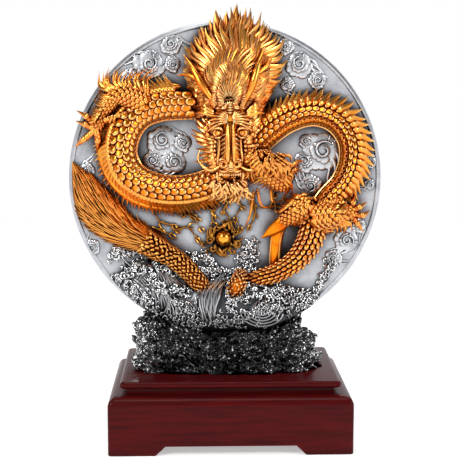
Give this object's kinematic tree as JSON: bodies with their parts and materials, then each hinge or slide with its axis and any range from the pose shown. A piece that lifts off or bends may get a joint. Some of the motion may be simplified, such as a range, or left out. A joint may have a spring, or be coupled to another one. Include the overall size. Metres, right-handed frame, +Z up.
{
  "type": "dragon sculpture",
  "caption": "Gilt dragon in high relief on a round pewter disc, standing in a black rock on a red lacquered plinth; a desk ornament.",
  "frame": {"origin": "middle of the plinth's underside", "axes": "+Z up through the disc, -Y towards the viewer and the carved face, +X to the viewer's right"},
  "size_m": [0.22, 0.118, 0.3001],
  "materials": {
    "lacquered_wood": "deep red lacquer over rosewood, glossy, fine straight grain",
    "black_rock": "gloss black paint over a rough casting, dry-brushed silver on the high points",
    "pewter": "satin pewter with dark patina in the recesses",
    "gilt": "gold plating, bright on the high points, with red-brown patina in the recesses",
    "polished_gold": "polished gold plating"
  },
  "bodies": {
    "root": {"plinth": "lacquered_wood", "rock_base": "black_rock", "disc": "pewter", "dragon": "gilt", "dragon_tail": "gilt", "dragon_hump": "gilt", "pearl": "polished_gold"}
  },
  "joints": []
}
